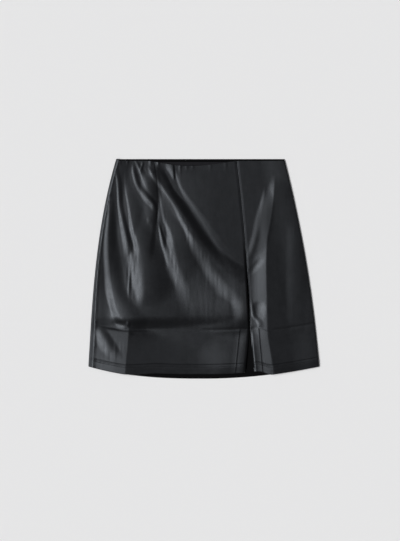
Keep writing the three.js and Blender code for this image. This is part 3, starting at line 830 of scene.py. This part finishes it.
def makeFrontSidePanel():
    slitLines = besideSlit(slitFrame["right"])
    share = np.linspace(0, 1, panelGrid["sideColumns"])
    offset = np.r_[slitLines, lerp(slitLines[-1] + lineGap, 0, share)]
    share = np.r_[0 * slitLines, share]
    angles = np.radians(np.linspace(90, foldGrid["meetAngle"], foldGrid["halfSteps"])[1:])
    radius, wall = skirt["sideFoldRadius"], skirt["wall"]

    flatCount = len(share)
    share = np.r_[share, 0 * angles + 1]
    offset = np.r_[offset, radius * np.cos(angles)]

    def place(y):
        return lerp(slitRightEdge(y), rightEdge(y) - radius, share) + offset

    def edges(x, y):
        return rolled(x - slitRightEdge(y), panelGrid["edgeRadius"])

    x, y, top, under = frontPiece(place, edges)
    # The last columns roll down round the side fold
    centre = rightEdge(y) - radius
    half = topHeight(centre, y) / 2
    lift = np.sin(angles)
    underX = x.copy()
    top[:, flatCount:] = half[:, flatCount:] * (1 + lift)
    under[:, flatCount:] = half[:, flatCount:] + (half[:, flatCount:] - wall) * lift
    underX[:, flatCount:] = centre[:, flatCount:] + (radius - wall) * np.cos(angles)
    finishes = [coatedLeather, shadedKnitBacking]
    piece = shellMesh("frontSidePanel", (x, y, top), (underX, y, under), finishes, underSlots(x, y))
    return finishPanel(piece, "front_side_panel")


backGrid = {"groundColumns": 110, "rows": 130, "flapColumns": 8}
backHemPress = {"reach": 10, "depth": 1.5, "uneven": 0.3, "cells": (6, 5, 17)}


def hemSlope(x, y):        # the back hem thins unevenly towards its edge, where it is pressed
    near = 1 - ease((y - backHem(x)) / backHemPress["reach"])
    uneven = backHemPress["uneven"] * softNoise(x, y, *backHemPress["cells"])
    return near * (backHemPress["depth"] + uneven)


def makeBackPanel():
    # One path of columns: down round the right fold, along the ground, up round the left fold
    # and onto the flap that ends at the side seam
    radius, wall = skirt["sideFoldRadius"], skirt["wall"]
    rightAngles = np.radians(np.linspace(-foldGrid["meetAngle"], -90, foldGrid["halfSteps"])[:-1])
    leftAngles = np.radians(np.linspace(-90, 90, foldGrid["wholeSteps"])[1:-1])
    groundShare = np.linspace(0, 1, backGrid["groundColumns"])
    flapShare = np.linspace(0, 1, backGrid["flapColumns"])
    share = np.r_[0 * rightAngles, groundShare, 0 * leftAngles + 1, 0 * flapShare + 1]
    offset = np.r_[radius * np.cos(rightAngles), 0 * groundShare,
                   -radius * np.cos(leftAngles), 0 * flapShare]
    alongFlap = np.r_[0 * rightAngles, 0 * groundShare, 0 * leftAngles, flapShare]

    def place(y):
        right, left = rightEdge(y) - radius, leftEdge(y) + radius
        flapWidth = leftSeam(y) - skirt["seamGap"] / 2 - left
        return lerp(right, left, share) + offset + alongFlap * flapWidth

    x, y = settle(place, gridLines(backGrid["rows"]), backTop, backHem)
    right, left = rightEdge(y) - radius, leftEdge(y) + radius
    rightHalf, leftHalf = topHeight(right, y) / 2, topHeight(left, y) / 2
    a = len(rightAngles)
    b = a + len(groundShare)
    c = b + len(leftAngles)
    top, under, underX = np.zeros_like(x), np.zeros_like(x), x.copy()
    top[:, :a] = rightHalf[:, :a] * (1 + np.sin(rightAngles))
    under[:, :a] = rightHalf[:, :a] + (rightHalf[:, :a] - wall) * np.sin(rightAngles)
    underX[:, :a] = right[:, :a] + (radius - wall) * np.cos(rightAngles)
    under[:, a:b] = (clothWall(y - backHem(x)) - hemSlope(x, y))[:, a:b]
    top[:, b:c] = leftHalf[:, b:c] * (1 + np.sin(leftAngles))
    under[:, b:c] = leftHalf[:, b:c] + (leftHalf[:, b:c] - wall) * np.sin(leftAngles)
    underX[:, b:c] = left[:, b:c] - (radius - wall) * np.cos(leftAngles)
    top[:, c:] = topHeight(x, y)[:, c:]
    under[:, c:] = underHeight(x, y, topHeight(x, y))[:, c:]
    # Round the waist and hem edges over, both faces towards each other
    gap = np.hypot(under - top, underX - x)
    most = panelGrid["edgeShare"] * gap
    drop = np.minimum(rolled(waistY - y, most) + rolled(y - backHem(x), most), most)
    towards = drop / gap
    topX, topZ = lerp(x, underX, towards), lerp(top, under, towards)
    innerX, innerZ = lerp(underX, x, towards), lerp(under, top, towards)
    piece = shellMesh("backPanel", (topX, y, topZ), (innerX, y, innerZ), [coatedLeather, shadedKnitBacking], 1)
    return finishPanel(piece, "back_panel")


def makeFacing():
    low = skirt["wall"] + skirt["seamGap"]
    share, offset = gridLines(facing["columns"])

    def place(y):
        left, right = leftEdge(y) + facing["endGap"], rightEdge(y) - facing["endGap"]
        return lerp(left, right, share) + offset

    def top(x):
        return waistY - facing["below"] + 0 * x

    def bottom(x):
        return waistY - facing["below"] - facing["height"] + 0 * x

    x, y = settle(place, gridLines(facing["rows"]), top, bottom)
    thick, radius = facing["thickness"], facing["edgeRadius"]
    drop = rolled(top(x) - y, radius) + rolled(y - bottom(x), radius)
    drop = np.minimum(drop, facing["edgeShare"] * thick)
    piece = shellMesh("backWaistFacing", (x, y, low + thick - drop), (x, y, low + drop), [litFacingKnit], 0)
    return finishPanel(piece, "back_waist_facing")


frontPanel = makeFrontPanel()
frontSidePanel = makeFrontSidePanel()
backPanel = makeBackPanel()
backWaistFacing = makeFacing()
print("panels made")

# Sewing
stitch = {"pitch": 3.3, "length": 2.7, "radius": 0.3, "sides": 6, "sunk": 0.5}

# Rings of one stitch: place along it in half lengths, then width and height in radii
stitchRings = np.array([
    (-1, 0.25, -0.75), (-0.8, 0.8, -0.25), (0, 1, 0.2), (0.8, 0.8, -0.25), (1, 0.25, -0.75),
])


def stitchRow(name, x, y):   # stitches at an even pitch along a path, on the cloth
    along = np.r_[0, np.cumsum(np.hypot(np.diff(x), np.diff(y)))]
    number = max(2, int(along[-1] // stitch["pitch"]))
    centres = (np.arange(number) + 0.5) * along[-1] / number
    half = stitch["length"] / 2
    rings, sides = stitchRings, stitch["sides"]
    turn = np.linspace(0, 2 * math.pi, sides, endpoint=False)
    s = centres[:, None] + rings[:, 0] * half
    px, py = np.interp(s, along, x), np.interp(s, along, y)
    dx, dy = px[:, -1:] - px[:, :1], py[:, -1:] - py[:, :1]
    size = np.hypot(dx, dy)
    pz = topHeight(px, py) + (rings[:, 2] - stitch["sunk"]) * stitch["radius"]
    across = stitch["radius"] * rings[:, 1][:, None] * np.cos(turn)
    up = stitch["radius"] * rings[:, 1][:, None] * np.sin(turn)
    points = np.stack([px[:, :, None] - (dy / size)[:, :, None] * across,
                       py[:, :, None] + (dx / size)[:, :, None] * across,
                       pz[:, :, None] + up], axis=-1) * mm
    faces = []
    for base in range(0, number * len(rings) * sides, len(rings) * sides):
        for ring in range(len(rings) - 1):
            for k in range(sides):
                a, b = base + ring * sides + k, base + ring * sides + (k + 1) % sides
                faces.append((a, b, b + sides, a + sides))
        faces.append(tuple(base + k for k in reversed(range(sides))))
        faces.append(tuple(base + (len(rings) - 1) * sides + k for k in range(sides)))
    mesh = bpy.data.meshes.new(name)
    mesh.from_pydata(points.reshape(-1, 3).tolist(), [], faces)
    mesh.materials.append(sewingThread)
    mesh.shade_smooth()
    piece = bpy.data.objects.new(name, mesh)
    bpy.context.collection.objects.link(piece)
    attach(piece, "root")
    return piece


hemRows = {"inset": 1.5, "rightInset": 3.9, "points": 200}   # rows stop short of seams and fold


def makeHemRows():
    rows = []
    for number, above in enumerate(stitchLines["heights"], 1):
        for name, left, right, rightInset in (
                ("hemStitchFront", leftSeam, slitLeftEdge, hemRows["inset"]),
                ("hemStitchSide", slitRightEdge, rightEdge, hemRows["rightInset"])):
            start, end = left(cornerY) + hemRows["inset"], right(cornerY) - rightInset
            x = np.linspace(start, end, hemRows["points"])
            rows.append(stitchRow(f"{name}{number}", x, frontHem(x) + above))
    return rows


def makeSlitRows():        # a stitched frame round the slit, with a bar tack at its top right
    hem, inset = frontHem(slitFrame["middle"]), slitFrame["inset"]
    y = np.linspace(hem + skirt["hemLine"], hem + slitFrame["foot"], slitFrame["sidePoints"])
    left, right = slitLeftEdge(y) - slitFrame["left"], slitRightEdge(y) + slitFrame["right"]
    rows = [stitchRow("slitStitchLeft", left, y), stitchRow("slitStitchRight", right, y)]
    slitLeft, slitRight = slitLeftEdge(y[0]), slitRightEdge(y[0])
    tack = slitRight + slitFrame["tackFrom"], slitRight + slitFrame["tackTo"]
    for name, start, end, drop in (
            ("slitStitchTopLeft", left[0] + inset, slitLeft - inset, 0),
            ("slitStitchTopRight", slitRight + inset, right[0] - inset, 0),
            ("slitTack", *tack, slitFrame["tackDrop"])):
        x = np.linspace(start, end, slitFrame["topPoints"])
        rows.append(stitchRow(name, x, frontHem(x) + skirt["hemLine"] - drop))
    return rows


sewing = makeHemRows() + makeSlitRows()
print("sewing made")


# Stage
studio = {
    "floorColour": (0.82, 0.82, 0.825),
    "floorReach": 3,          # metres
    "floorDrop": 0.0002,      # below the cloth, in metres
    "keyTurns": (158, 198),   # one tall light at the left, as two; degrees from +X towards +Y
    "keyTilt": 30,            # degrees off straight up
    "keySpread": 20,          # degrees across, seen from the skirt
    "keyStrength": 1.12,
    "fillTurn": 176,
    "fillSpread": 44,
    "fillStrength": 0.78,
    "topTilt": 5,
    "topSpread": 28,
    "topStrength": 0.08,
    "skyStrength": 0.10,
}


def makeFloor():
    reach = studio["floorReach"]
    corners = [(-reach, -reach, 0), (reach, -reach, 0), (reach, reach, 0), (-reach, reach, 0)]
    mesh = bpy.data.meshes.new("floor")
    mesh.from_pydata(corners, [], [(0, 1, 2, 3)])
    material, _, _, shader = newMaterial("paleFloor")
    shader.inputs["Base Color"].default_value = (*studio["floorColour"], 1)
    shader.inputs["Roughness"].default_value = 0.9
    mesh.materials.append(material)
    floor = bpy.data.objects.new("floor", mesh)
    floor.location.z = -studio["floorDrop"]
    bpy.context.collection.objects.link(floor)


def softLight(name, tilt, turn, spread, strength):
    lamp = bpy.data.lights.new(name, "SUN")
    lamp.angle, lamp.energy = math.radians(spread), strength
    light = bpy.data.objects.new(name, lamp)
    light.rotation_euler = (0, math.radians(tilt), math.radians(turn))
    bpy.context.collection.objects.link(light)


def makeStage():
    makeFloor()
    for turn in studio["keyTurns"]:
        softLight(f"key{turn}", studio["keyTilt"], turn, studio["keySpread"], studio["keyStrength"])
    softLight("fill", studio["keyTilt"], studio["fillTurn"], studio["fillSpread"], studio["fillStrength"])
    softLight("top", studio["topTilt"], studio["fillTurn"], studio["topSpread"], studio["topStrength"])
    world = bpy.data.worlds.new("studio")
    world.use_nodes = True
    sky = world.node_tree.nodes["Background"]
    sky.inputs["Strength"].default_value = studio["skyStrength"]
    sky.inputs["Color"].default_value = (1, 1, 1, 1)
    bpy.context.scene.world = world
    bpy.context.scene.view_settings.view_transform = "Standard"


lens = {"focal": 85, "sensor": 36, "frameHeight": 1.082, "middle": (-0.0075, -0.0032)}   # mm, then metres


def makeCamera():
    data = bpy.data.cameras.new("camera")
    data.lens, data.sensor_width, data.sensor_fit = lens["focal"], lens["sensor"], "AUTO"
    camera = bpy.data.objects.new("camera", data)
    camera.location = (*lens["middle"], lens["frameHeight"] * lens["focal"] / lens["sensor"])
    bpy.context.collection.objects.link(camera)
    bpy.context.scene.camera = camera


makeStage()
makeCamera()
print("stage made")
